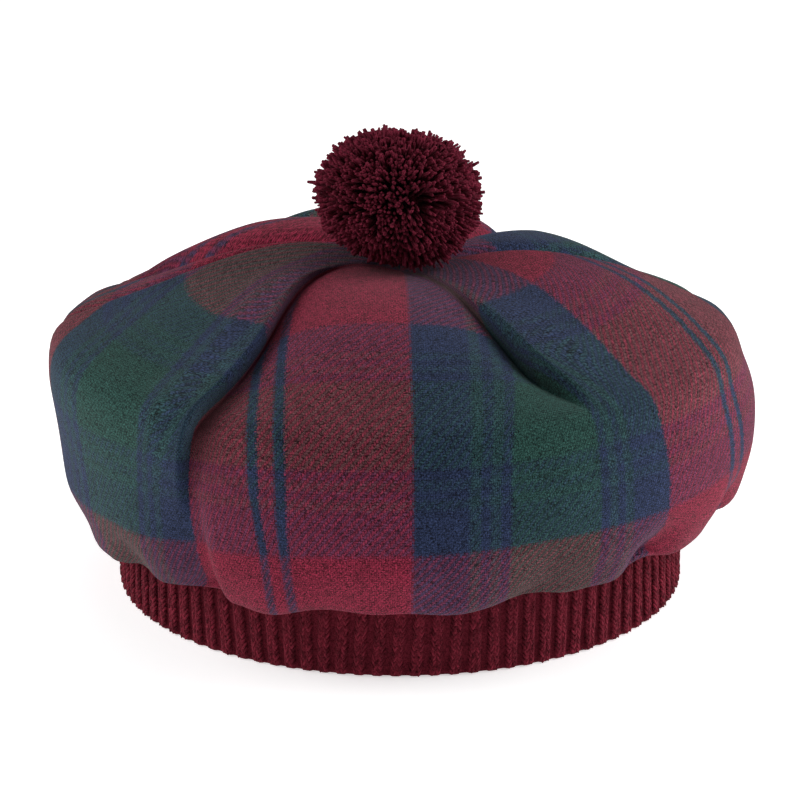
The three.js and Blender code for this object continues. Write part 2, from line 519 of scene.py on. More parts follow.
@dataclass(frozen=True)
class Tartan:
    """Brushed 2/2 twill: each warp thread passes over two picks and under two, one pick higher each time."""

    sheen: Sheen = Sheen()
    ends: int = 270
    picks: int = 194
    squash: float = 0.90
    layer: str = "cloth"
    thread_roundness: float = 0.45
    float_rise: float = 0.55
    wander: float = 0.35
    warp_wander: tuple[float, float, float] = (70.0, 40.0, 1.0)
    weft_wander: tuple[float, float, float] = (45.0, 80.0, 1.0)
    fibre_scale: float = 190.0
    fibre_detail: float = 4.0
    fibre_curl: float = 2.2
    fibre_lift: float = 0.9
    straying: float = 10.0
    crossing: float = 0.35
    warp_shares: tuple[float, float] = (0.47, 0.82)
    # Painted shade and light on the weave: darker in the gaps between threads, lighter on their crowns.
    thread_shading_top: float = 0.85
    thread_shading_levels: tuple[float, float] = (0.12, 1.3)
    curl_ends: tuple[float, float] = (0.36, 0.64)
    curl_levels: tuple[float, float] = (0.15, 2.0)
    wander_detail: float = 1.0
    blotch_scale: float = 9.0
    blotch_detail: float = 3.0
    blotch_levels: tuple[float, float] = (0.86, 1.14)
    relief_of_fibres: float = 0.6
    relief_depth: float = 0.0005

    def stripes(self, tree: Tree, place: Value, half_sett: tuple[Stripe, ...]) -> bpy.types.NodeSocket:
        """The dye at a place across the sett, mirrored about its two middles.

        Args:
            tree: the material's tree.
            place: distance across the cloth, in setts.
            half_sett: the stripes of half a sett.

        Returns:
            The dye's colour.
        """
        edges = np.cumsum([0.0] + [stripe.width for stripe in half_sett[:-1]]) * 2 / SETT
        stops = [(edge, stripe.dye.value) for edge, stripe in zip(edges.tolist(), half_sett)]
        node = tree.node("ShaderNodeValToRGB", {"stops": stops}, {0: place.fold(0.5) * 2})
        node.color_ramp.interpolation = "CONSTANT"
        return node.outputs[0]

    def thread(self, across: Value, along: Value, lag: float) -> Value:
        """Height of one set of threads: round across the thread, and up and down along it.

        Args:
            across: place across the threads, in threads.
            along: place along them, in crossings.
            lag: crossings by which this set's floats are put off.

        Returns:
            A height between -1 and 1.
        """
        number = across.floor()
        middle = (across - number) * 2 - 1
        float_wave = ((along - number - lag) * (math.pi / 2)).wave()
        return (1 - middle * middle) * self.thread_roundness + float_wave * self.float_rise

    def material(self) -> bpy.types.Material:
        """Builds the tartan's material on the piece's own cloth coordinates, in setts."""
        tree = Tree("tartan_twill")
        uv = tree.node("ShaderNodeUVMap", {"uv_map": self.layer}, {}).outputs[0]
        parts = tree.node("ShaderNodeSeparateXYZ", {}, {0: uv})
        across, up = tree.value(parts, 0), tree.value(parts, 1)
        wander_x = tree.noise(tree.stretched(uv, self.warp_wander), self.wander_detail)
        wander_y = tree.noise(tree.stretched(uv, self.weft_wander), self.wander_detail)
        end = across * self.ends + (wander_x - 0.5) * (2 * self.wander)
        pick = up * self.picks + (wander_y - 0.5) * (2 * self.wander)
        warp_height = self.thread(end, pick, 0.0)
        weft_height = self.thread(pick, end, 1.0)
        fibres = tree.noise(uv, self.fibre_scale, self.fibre_detail, self.fibre_curl)
        lead = warp_height - weft_height + (fibres - 0.5) * self.fibre_lift
        on_top = lead.ramp(-self.crossing, self.crossing).between(*self.warp_shares)
        stray = (fibres - 0.5) * self.straying
        warp = self.stripes(tree, (end.floor() + 0.5 + stray) / self.ends, WARP_HALF_SETT)
        weft = self.stripes(tree, (pick.floor() + 0.5 + stray) / self.picks, WEFT_HALF_SETT)
        dyed = tree.mix(on_top, weft, warp)
        height = warp_height.higher(weft_height)
        # Painted shade and light: the colour darkens where the threads sink between one another and lightens
        # on their crowns.
        thread_light_and_shade = height.ramp(0.0, self.thread_shading_top).between(*self.thread_shading_levels)
        curls = fibres.ramp(*self.curl_ends).between(*self.curl_levels)
        blotches = tree.noise(uv, self.blotch_scale, self.blotch_detail).between(*self.blotch_levels)
        shaded = tree.mix(1.0, dyed, tree.grey(thread_light_and_shade * curls * blotches), "MULTIPLY")
        relief = height * (1 - self.relief_of_fibres) + fibres * self.relief_of_fibres
        return tree.surface(self.sheen, shaded, relief, self.relief_depth)


@dataclass(frozen=True)
class Yarn:
    """Plied wool yarn in one dye, lighter and darker from strand to strand, with painted shade where a
    piece's stored value is low.
    """

    name: str
    dye: Dye
    sheen: Sheen = Sheen(fuzz=0.02, shine=0.06)
    fibre_scale: float = 1500.0
    fibre_detail: float = 3.0
    fibre_curl: float = 1.2
    fibre_ends: tuple[float, float] = (0.3, 0.7)
    fibre_share: float = 0.45
    blotch_scale: float = 120.0
    blotch_share: float = 0.1
    strand_share: float = 0.45
    relief_depth: float = 0.0003
    light: float = 2.2
    dark: float = 0.08

    def material(self) -> bpy.types.Material:
        """Builds the yarn's material on Object coordinates and each piece's stored value: a random tone for
        each strand and knit leg, and painted shade on the band's ground, at the pompom's roots and on its
        core.
        """
        tree = Tree(self.name)
        place = tree.node("ShaderNodeTexCoord", {}, {}).outputs["Object"]
        tone_and_shade = tree.value(tree.node("ShaderNodeAttribute", {"attribute_name": TONE_AND_SHADE}, {}), "Fac")
        fibres = tree.noise(place, self.fibre_scale, self.fibre_detail, self.fibre_curl)
        blotches = tree.noise(place, self.blotch_scale)
        mottle = fibres.ramp(*self.fibre_ends) * self.fibre_share + blotches * self.blotch_share
        # The stored value brightens or darkens the yarn: partly a random tone, partly painted shade.
        level = (mottle + tone_and_shade * self.strand_share).between(self.dark, self.light)
        colour = tree.mix(1.0, self.dye.value, tree.grey(level), "MULTIPLY")
        return tree.surface(self.sheen, colour, fibres, self.relief_depth)


# --- the crown --------------------------------------------------------------------------------


@dataclass(frozen=True)
class Station:
    """A point of the crown's resting outline."""

    radius: float
    height: float


@dataclass(frozen=True)
class Pleat:
    """A pleat of the crown, and the lobe of cloth that follows it anticlockwise.

    It runs from the azimuth gathered, at the middle, to the azimuth spread, which it reaches at swing
    along the cloth from the middle. It opens from start and dies out at reach. It is depth deep, and
    before and after are its widths on its two sides. The lobe swells by puff, and its warp runs towards
    the middle along the azimuth grain. The cloth on one side stands up by lap and leans over the pleat:
    the side before it when lap is positive, else the side after it. take is how many degrees of cloth
    the pleat folds under, and pull how far the lobe's cloth is drawn in to the middle.
    """

    gathered: float
    spread: float
    swing: float
    sweep: float
    reach: float
    depth: float
    before: float
    after: float
    puff: float
    grain: float
    lap: float
    take: float
    pull: float
    start: float


@dataclass(frozen=True)
class Tuck:
    """A small tuck where the cloth is eased on to the band, with its widths on its two sides."""

    azimuth: float
    before: float
    after: float
    depth: float
    rise: float


@dataclass(frozen=True)
class Bulge:
    """A swelling of the right side, and a sinking of the left, round a height."""

    height: float
    spread: float
    out: float


@dataclass(frozen=True)
class Crown:
    """The soft tartan crown: a tube of cloth gathered at the top and drooping over the band."""

    outline: tuple[Station, ...] = (
        Station(87.5, 34.3),
        Station(92.0, 33.9),
        Station(96.2, 28.6),
        Station(101.6, 25.0),
        Station(107.0, 30.0),
        Station(111.3, 43.0),
        Station(113.0, 60.0),
        Station(112.0, 74.0),
        Station(107.8, 84.2),
        Station(94.5, 90.0),
        Station(76.0, 96.0),
        Station(56.0, 102.0),
        Station(36.0, 105.5),
        Station(18.0, 105.5),
        Station(0.0, 102.5),
    )
    pleats: tuple[Pleat, ...] = (
        Pleat(-98, -36, 100, 2.4, 150, 5.5, 5, 34, 7.0, 0, 4.0, 14, 0, 12),
        Pleat(24, 33, 110, 1.3, 112, 7.5, 24, 6, 6.0, 40, -4.0, 7, -14, 30),
        Pleat(112, 110, 120, 1.3, 120, 8.0, 18, 14, 1.8, 140, 1.5, 0, -28, 0),
        Pleat(145, 150, 105, 1.3, 105, 6.0, 14, 14, 3.0, 180, 0.0, 0, 0, 0),
        Pleat(160, 196, 105, 1.3, 105, 6.0, 14, 14, 6.0, 212, 0.0, 0, 0, 0),
        Pleat(172, 238, 105, 1.0, 112, 6.5, 10, 12, 4.5, 289, -2.0, 0, 22, 0),
        Pleat(192, 243, 85, 2.0, 135, 9.5, 10, 12, -1.0, 288, -2.0, 0, 4, 0),
        Pleat(206, 262, 90, 2.0, 125, 7.5, 10, 14, 1.5, 318, -2.5, 0, 0, 0),
    )
    tucks: tuple[Tuck, ...] = (
        Tuck(-34.5, 14, 3.5, 6.0, 30),
        Tuck(-9, 10, 10, 2.0, 10),
        Tuck(23.5, 10, 10, 5.0, 13),
        Tuck(46, 9, 9, 7.5, 12),
        Tuck(70, 9, 9, 5.0, 13),
        Tuck(98, 10, 10, 4.0, 13),
        Tuck(126, 10, 10, 6.0, 13),
        Tuck(155, 10, 10, 4.0, 13),
        Tuck(183, 10, 10, 6.0, 13),
        Tuck(214, 10, 10, 4.0, 13),
        Tuck(243, 10, 10, 5.0, 13),
        Tuck(275, 10, 10, 4.0, 13),
        Tuck(303, 10, 10, 3.0, 13),
    )
    columns: int = 440
    fewest_columns: int = 16
    rows: int = 100
    outline_samples: int = 2000
    wall: float = 1.8
    setts_round: int = 4
    first_line: float = -20.5
    hem_line: float = 6.8
    soft_end: float = 0.72
    gather_length: float = 55.0
    lobe_full: float = 80.0
    lobe_fade: float = 75.0
    lobe_end: float = 125.0
    crowding: float = 0.4
    lip_length: float = 23.0
    lip_radius: float = 104.0
    lip_inward: float = 10.0
    seam_held: float = 5.0
    seam_free: float = 18.0
    droop: float = 5.0
    droop_heights: tuple[float, float] = (30.0, 85.0)
    bulges: tuple[Bulge, ...] = (Bulge(24, 9, 3.5), Bulge(45, 22, 2.8), Bulge(80, 12, -2.0))
    back_fall: float = 9.0
    back_sharpness: float = 2.5
    back_radii: tuple[float, float] = (65.0, 95.0)
    back_heights: tuple[float, float] = (60.0, 75.0)
    least_radius: float = 12.0
    gathered_width: float = 0.3
    lobe_roundness: float = 0.8
    lap_width: float = 26.0
    lap_lean: float = 1.8
    lap_strip: float = 2.4
    hem_slant: float = 6.0
    pull_start: float = 60.0
    pull_end: float = 130.0
    grain_strip: float = 2.5
    grain_spread: float = 30.0
    grain_end: float = 0.6
    unevenness: float = 0.45
    uneven_waves: int = 24
    uneven_length: float = 42.0
    uneven_seed: int = 5
    even_near_middle: float = 30.0
    puckering: float = 1.4
    pucker_length: float = 26.0
    pucker_reach: float = 14.0
    pucker_seed: int = 4

    def resting_outline(self) -> tuple[np.ndarray, np.ndarray, float]:
        """Samples the outline evenly along its length.

        The outline is a Catmull-Rom curve through the stations, each stretch a cubic that leaves a
        station in the direction of its two neighbours.

        Returns:
            The samples as (radius, height), their outward normals, and the outline's length.
        """
        knots = np.array([(s.radius, s.height) for s in self.outline])
        knots = np.vstack([2 * knots[0] - knots[1], knots, 2 * knots[-1] - knots[-2]])
        place = np.linspace(0, len(self.outline) - 1, self.outline_samples)
        index = np.minimum(place.astype(int), len(self.outline) - 2)
        t = (place - index)[:, None]
        a, b, c, d = (knots[index + k] for k in range(4))
        bend = 2 * a - 5 * b + 4 * c - d
        curve = 0.5 * (2 * b + (c - a) * t + bend * t**2 + (3 * b - a - 3 * c + d) * t**3)
        length = np.concatenate([[0], np.cumsum(np.linalg.norm(np.diff(curve, axis=0), axis=1))])
        even = np.linspace(0, length[-1], self.rows)
        samples = np.stack([np.interp(even, length, curve[:, k]) for k in range(2)], axis=1)
        tangent = np.gradient(samples, axis=0)
        tangent[-1] = (-1, 0)
        normal = unit(np.stack([tangent[:, 1], -tangent[:, 0]], axis=1))
        return samples, normal, float(length[-1])

    def line(self, pleat: Pleat, distance: np.ndarray) -> np.ndarray:
        """A pleat's azimuth: spread + (gathered - spread)(1 - distance/swing)^sweep."""
        left = np.clip(1 - distance / pleat.swing, 0, 1)
        return pleat.spread + (pleat.gathered - pleat.spread) * left**pleat.sweep

    def column_azimuths(self, distance: np.ndarray) -> np.ndarray:
        """Azimuths of the grid, crowded towards the pleats so that a column follows each one.

        Args:
            distance: each row's distance from the middle along the cloth.

        Returns:
            One row of azimuths for each distance, rising from the first pleat's.
        """
        spans = np.diff([p.spread for p in self.pleats] + [self.pleats[0].spread + 360])
        counts = np.maximum(np.round(self.columns * spans / 360).astype(int), self.fewest_columns)
        counts[0] += self.columns - counts.sum()
        parts = []
        for k, pleat in enumerate(self.pleats):
            start = self.line(pleat, distance)
            after = self.line(self.pleats[(k + 1) % len(self.pleats)], distance)
            span = (after - start) % 360
            s = np.arange(counts[k]) / counts[k]
            eased = s - self.crowding * np.sin(2 * np.pi * s) / (2 * np.pi)
            turns = 360 * round((pleat.spread - self.pleats[0].spread) // 360)
            parts.append(start[:, None] + turns + span[:, None] * eased)
        return np.concatenate(parts, axis=1)

    def stand_out(
        self, azimuth: np.ndarray, along: np.ndarray, length: float, radius: np.ndarray
    ) -> tuple[np.ndarray, np.ndarray]:
        """How far the cloth stands out from its outline along the normal, and moves sideways.

        Each lobe adds puff * sin(pi s)^0.8 across its share s, each pleat takes away depth * (1 - q)^2
        at q of its width from its line, and each tuck takes away a bell round its azimuth at the lip.
        A pleat's lapping side rises by lap within its width, dies away over lap_width, and its crest
        leans sideways over the pleat by lap_lean * lap * 4w(1 - w) across a strip of w from 0 to 1.

        Args:
            azimuth: the grid's azimuths.
            along: length of cloth from the seam.
            length: the outline's whole length.
            radius: the outline's radius there.

        Returns:
            Millimetres outward and millimetres anticlockwise.
        """
        distance = length - along
        fullness = smooth(distance / self.lobe_full) * (1 - stretch(distance, self.lobe_fade, self.lobe_end))
        narrowing = self.gathered_width + (1 - self.gathered_width) * smooth(distance / self.lobe_full)
        out = np.zeros_like(azimuth)
        aside = np.zeros_like(azimuth)
        for k, pleat in enumerate(self.pleats):
            line = self.line(pleat, distance)
            offset = signed_degrees(azimuth - line) * DEGREE * np.maximum(radius, self.least_radius)
            width = np.where(offset < 0, pleat.before, pleat.after) * narrowing
            flank = np.clip(1 - np.abs(offset) / width, 0, 1)
            opening = stretch(distance, pleat.start, pleat.start + self.gather_length)
            held = opening * (1 - stretch(distance, self.soft_end * pleat.reach, pleat.reach))
            out -= pleat.depth * held * flank**2
            over = np.where(offset * pleat.lap < 0, held * abs(pleat.lap), 0)
            out += over * (1 - smooth(np.abs(offset) / self.lap_width)) * smooth(np.abs(offset) / width)
            strip = np.clip(np.abs(offset) / (self.lap_strip * width), 0, 1)
            aside += np.sign(pleat.lap) * self.lap_lean * over * 4 * strip * (1 - strip)
            after = self.line(self.pleats[(k + 1) % len(self.pleats)], distance)
            share = ((azimuth - line) % 360) / ((after - line) % 360)
            lobe = np.sin(np.pi * np.clip(share, 0, 1)) ** self.lobe_roundness
            out += np.where(share < 1, pleat.puff * fullness * lobe, 0)
        for tuck in self.tucks:
            offset = signed_degrees(azimuth - tuck.azimuth) * DEGREE * self.lip_radius
            up = (along - self.lip_length) / np.where(along > self.lip_length, tuck.rise, self.lip_inward)
            side = np.where(offset < 0, tuck.before, tuck.after)
            out -= tuck.depth * bell(offset / side) * bell(up)
        return out, aside

    def shape(self) -> tuple[np.ndarray, np.ndarray, np.ndarray, np.ndarray, float]:
        """Works out the outer surface.

        Returns:
            The grid's points, azimuths, lengths from the seam and outline radii, and the outline's length.
        """
        samples, normal, length = self.resting_outline()
        along = np.linspace(0, length, self.rows)[:, None]
        azimuth = self.column_azimuths(length - along[:, 0])
        along = np.broadcast_to(along, azimuth.shape)
        radius = np.broadcast_to(samples[:, :1], azimuth.shape)
        free = stretch(along, self.seam_held, self.seam_free)
        out, aside = self.stand_out(azimuth, along, length, radius)
        rough = around(azimuth, radius, samples[:, 1:])
        wavy = self.unevenness * ripple(rough, self.uneven_waves, self.uneven_length, self.uneven_seed)
        lip = around(azimuth, self.lip_radius, along)
        puckers = ripple(lip, self.uneven_waves, self.pucker_length, self.pucker_seed)
        out = out + self.puckering * puckers * bell((along - self.lip_length) / self.pucker_reach)
        out = (out + wavy * smooth((length - along) / self.even_near_middle)) * free
        r = radius + normal[:, :1] * out
        z = samples[:, 1:] + normal[:, 1:] * out
        side = np.sin(azimuth * DEGREE)
        z = z + self.droop * side * (1 - stretch(z, *self.droop_heights)) * free
        for bulge in self.bulges:
            r = r + bulge.out * side * bell((z - bulge.height) / bulge.spread) * free
        back = (0.5 - 0.5 * np.cos(azimuth * DEGREE)) ** self.back_sharpness
        z = z - self.back_fall * back * stretch(radius, *self.back_radii) * stretch(z, *self.back_heights)
        turned = azimuth + aside * free / np.maximum(radius, self.least_radius) / DEGREE
        return around(turned, r, z), azimuth, along, radius, length

    def cloth_coordinates(
        self, azimuth: np.ndarray, along: np.ndarray, radius: np.ndarray, length: float, squash: float
    ) -> np.ndarray:
        """Where each point lies on the flat cloth.

        Round the hat, u = R (rho b + (1 - rho) g): rho is the outline's radius over the tube's, b the
        azimuth plus the cloth that the pleats have folded under so far, the whole eased back to one
        turn, and g the grain of the lobe. Both change over a narrow strip at each pleat, which widens
        beyond the pleat's end. Up the hat, v is the length of cloth from a line that is hem_line over
        the seam and slants below it on the left.

        Args:
            azimuth: the grid's azimuths.
            along: length of cloth from the seam.
            radius: the outline's radius.
            length: the outline's length.
            squash: the sett's height over its width.

        Returns:
            (u, v) in setts, with one more column than the grid, where u has gone once round.
        """
        tube = self.setts_round * SETT / (2 * np.pi)
        distance = length - along
        rho = np.clip(radius / tube, 0, 1)
        grain = np.full_like(azimuth, self.pleats[-1].grain - 360)
        pulled = np.full_like(azimuth, self.pleats[-1].pull)
        taken = sum(pleat.take for pleat in self.pleats)
        around_hat = azimuth - (azimuth - self.first_line) * taken / 360 - self.pleats[0].take
        for k, pleat in enumerate(self.pleats):
            before = self.pleats[k - 1].grain - (0 if k else 360)
            strip = self.grain_strip / np.maximum(radius, self.least_radius) / DEGREE
            widening = stretch(distance, self.grain_end * pleat.reach, 2 * self.grain_end * pleat.reach)
            half = strip + (self.grain_spread - strip) * widening
            step = smooth((azimuth - self.line(pleat, distance) + half) / (2 * half))
            nearer = smooth((azimuth - 360 - self.line(pleat, distance) + half) / (2 * half))
            grain = grain + (pleat.grain - before) * (step + nearer)
            around_hat = around_hat + pleat.take * (step + nearer)
            pulled = pulled + (pleat.pull - self.pleats[k - 1].pull) * (step + nearer)
        u = tube * DEGREE * (rho * around_hat + (1 - rho) * grain - self.first_line) / SETT
        pulled = pulled * stretch(along, self.pull_start, self.pull_end)
        slant = self.hem_slant * smooth(-np.sin(azimuth * DEGREE)) + pulled
        v = (along - self.hem_line + slant) / (SETT * squash)
        u = np.concatenate([u, u[:, :1] + self.setts_round], axis=1)
        v = np.concatenate([v, v[:, :1]], axis=1)
        return np.stack([u, v], axis=-1)

    def build(self, cloth: Tartan) -> bpy.types.Object:
        """Builds the crown as a grid of cloth with a wall, with its cloth coordinates.

        Args:
            cloth: the tartan that it is cut from.

        Returns:
            The crown.
        """
        points, azimuth, along, radius, length = self.shape()
        crown = make_object("crown_cloth", points.reshape(-1, 3), [grid_faces(self.rows, self.columns)])
        uv = self.cloth_coordinates(azimuth, along, radius, length, cloth.squash)
        corners = (uv[:-1, :-1], uv[:-1, 1:], uv[1:, 1:], uv[1:, :-1])
        paint_uv(crown, cloth.layer, np.stack(corners, axis=2))
        wall = crown.modifiers.new("wall", "SOLIDIFY")
        wall.thickness = self.wall * MM
        wall.offset = -1
        return crown

    def dress(self, crown: bpy.types.Object, cloth: Tartan) -> None:
        """Puts the tartan on the crown."""
        finish_pieces([crown], cloth.material(), "crown")


# --- the band ---------------------------------------------------------------------------------


@dataclass(frozen=True)
class Swing:
    """A wave of the ribs' lean round the hat."""

    waves: int
    phase: float
    share: float


@dataclass(frozen=True)
class Band:
    """The headband: a ring of two by two rib, each raised rib showing two columns of knit stitches."""

    radius: float
    height: float
    wall: float = 4.6
    edge: float = 1.3
    edge_rows: int = 4
    side_rows: int = 9
    ribs: int = 96
    columns_per_rib: int = 10
    rib_rise: float = 1.5
    rib_fullness: float = 0.5
    rise_at_edge: float = 0.5
    edge_reach: float = 1.5
    under_stitches: float = 0.35
    ground_painted_shade: float = 0.3
    free_edge: float = 1.0
    first_course: float = 0.9
    stitch_height: float = 1.62
    wale: float = 1.9
    strand: float = 0.47
    leg_length: float = 2.7
    leg_lean: float = 25.0
    leg_place: float = 0.24
    leg_rings: tuple[float, ...] = (-0.86, 0.0, 0.86)
    leg_roundness: float = 0.85
    leg_rise: float = 0.22
    wale_roundness: float = 0.12
    lowest: float = 0.12
    top_margin: float = 0.5
    jitter: float = 0.07
    leg_variation: float = 0.06
    seed: int = 11
    sides: int = 4
    lean: float = 2.2
    swings: tuple[Swing, ...] = (Swing(3, 0.8, 1.0), Swing(7, 2.1, 0.6))

    @classmethod
    def from_frame(cls) -> "Band":
        """Takes the band's size from its node's box."""
        low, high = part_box("band")
        return cls(radius=(high.x - low.x) / 2 / MM, height=high.z / MM)

    def sway(self, azimuth: np.ndarray, height: np.ndarray) -> np.ndarray:
        """How far the ribs lean, for they are never quite plumb.

        Args:
            azimuth: where round the band.
            height: where up it.

        Returns:
            Millimetres round the hat, none at half the band's height.
        """
        turn = azimuth * DEGREE
        swing = sum(s.share * np.sin(s.waves * turn + s.phase) for s in self.swings)
        return self.lean * swing * (height / self.height - 0.5)

    def build_ground(self) -> bpy.types.Object:
        """Builds the ring itself: a wall profile carried round, whose outside and inside rise at the ribs.

        The rise is rib_rise * smooth(rib_fullness + cos(ribs * a)) outside and the opposite inside, and
        less where the profile rounds over its edges.
        """
        columns = self.ribs * self.columns_per_rib
        azimuth = np.arange(columns) * 360 / columns
        inner_radius = self.radius - self.wall
        thickness = self.radius - inner_radius
        edge = self.edge
        up = np.linspace(edge, self.height - edge, self.side_rows)[1:-1]
        bend = np.linspace(0, np.pi / 2, self.edge_rows)
        low_out = np.stack([thickness - edge + edge * np.sin(bend), edge - edge * np.cos(bend)], axis=1)
        high_out = np.stack([low_out[::-1, 0], self.height - low_out[::-1, 1]], axis=1)
        outside = np.vstack([low_out, np.stack([np.full_like(up, thickness), up], axis=1), high_out])
        inside = np.stack([thickness - outside[::-1, 0], outside[::-1, 1]], axis=1)
        profile = np.vstack([outside, inside])
        face = np.where(np.arange(len(profile)) < len(outside), 1.0, -1.0)[:, None]
        near = np.minimum(profile[:, 1], self.height - profile[:, 1])[:, None]
        ridge = smooth(self.rib_fullness + np.cos(self.ribs * azimuth * DEGREE))
        share = self.rise_at_edge + (1 - self.rise_at_edge) * smooth(near / self.edge_reach)
        sunk = np.where(face > 0, 1 - ridge, ridge) * self.rib_rise * share
        r = inner_radius + profile[:, :1] - face * sunk - np.where(face > 0, self.under_stitches, 0)
        z = np.broadcast_to(profile[:, 1:], r.shape)
        turned = azimuth + self.sway(azimuth, z) / self.radius / DEGREE
        points = around(turned, r, z).reshape(-1, 3)
        ground = make_object("band_ground", points, [grid_faces(len(profile), columns, close_rows=True)])
        # Painted shade: the ground, sunk between the ribs and under the stitches, gets one low tone that
        # darkens it.
        paint_values(ground, TONE_AND_SHADE, np.full(len(points), self.ground_painted_shade))
        return ground

    def build_stitches(self) -> bpy.types.Object:
        """Builds the knit stitches of the raised ribs, each of two legs that make a V.

        A leg is a grain: rings of radius strand * sqrt(1 - leg_roundness s^2), with s from -1 to 1 along
        its length. It leans out from the middle of its wale as it climbs, and its foot stands over the
        head of the one below.
        """
        courses = int((self.height - self.free_edge) / self.stitch_height)
        rib, wale, leg, course = np.meshgrid(
            np.arange(self.ribs), (-1, 1), (-1, 1), np.arange(courses), indexing="ij"
        )
        rib, wale, leg, course = (a.ravel() for a in (rib, wale, leg, course))
        draw = np.random.default_rng(self.seed)
        count = len(rib)
        jitter = draw.normal(0, self.jitter, (count, 3))
        longer = 1 + draw.normal(0, self.leg_variation, count)
        azimuth = rib * 360 / self.ribs
        height = self.first_course + (course + 0.5) * self.stitch_height + jitter[:, 0]
        offset = (wale * 0.5 + leg * self.leg_place) * self.wale + jitter[:, 1]
        lean = self.leg_lean * DEGREE
        s = np.array(self.leg_rings)
        swell = self.strand * np.sqrt(1 - s**2 * self.leg_roundness)
        ring = (np.arange(self.sides) + 0.5) * 2 * np.pi / self.sides
        half = self.leg_length / 2 * longer[:, None, None]
        # Place along the leg, then round it, in the wale's own axes: x round, z up, n outward.
        x = offset[:, None, None] + leg[:, None, None] * math.sin(lean) * half * s[None, :, None]
        z = height[:, None, None] + math.cos(lean) * half * s[None, :, None]
        n = -self.leg_rise * s[None, :, None] + jitter[:, 2, None, None]
        x = x + swell[None, :, None] * np.cos(ring) * math.cos(lean)
        z = z - swell[None, :, None] * np.cos(ring) * math.sin(lean) * leg[:, None, None]
        n = n + swell[None, :, None] * np.sin(ring)
        tips = np.array([-1.0, 1.0])
        tip_x = offset[:, None] + leg[:, None] * math.sin(lean) * half[:, :, 0] * tips
        tip_z = height[:, None] + math.cos(lean) * half[:, :, 0] * tips
        tip_n = -self.leg_rise * tips + jitter[:, 2, None]
        rings = np.stack([x, z, n], axis=-1).reshape(count, -1, 3)
        ends = np.stack([tip_x, tip_z, tip_n], axis=-1)
        local = np.concatenate([rings, ends], axis=1)
        crest = self.radius - self.strand - self.wale_roundness * local[..., 0] ** 2
        r = crest + local[..., 2]
        z = np.clip(local[..., 1], self.lowest, self.height - self.top_margin)
        where = azimuth[:, None] + (local[..., 0] + self.sway(azimuth[:, None], z)) / self.radius / DEGREE
        points = around(where, r, z).reshape(-1, 3)
        stitches = make_object("band_stitches", points, self._leg_faces(count))
        tone_and_shade = np.repeat(draw.uniform(0, 1, count), local.shape[1])
        paint_values(stitches, TONE_AND_SHADE, tone_and_shade)
        return stitches

    def _leg_faces(self, count: int) -> list[np.ndarray]:
        """Faces of every leg: quads between its rings and a fan at each tip.

        Args:
            count: how many legs there are.

        Returns:
            Three arrays of vertex numbers: the quads, the feet's fans and the heads' fans.
        """
        rings = len(self.leg_rings)
        each = rings * self.sides + 2
        side = np.arange(self.sides)
        after = (side + 1) % self.sides
        base = (np.arange(rings - 1) * self.sides)[:, None]
        quads = np.stack([base + side, base + side + self.sides, base + after + self.sides, base + after], -1)
        quads = quads.reshape(-1, 4)
        foot = np.stack([after, np.full(self.sides, each - 2), side], -1)
        top = (rings - 1) * self.sides
        head = np.stack([top + side, np.full(self.sides, each - 1), top + after], -1)
        return repeat_faces((quads, foot, head), count, each)

    def build(self) -> list[bpy.types.Object]:
        """Builds the ring and its stitches."""
        return [self.build_ground(), self.build_stitches()]

    def dress(self, pieces: list[bpy.types.Object], yarn: Yarn) -> None:
        """Puts the yarn on the ring and its stitches."""
        finish_pieces(pieces, yarn.material(), "band")


# --- the pompom -------------------------------------------------------------------------------


@dataclass(frozen=True)
class Ring:
    """A ring of a strand: its place on the strand's curve, and its width over the strand's."""

    place: float
    width: float


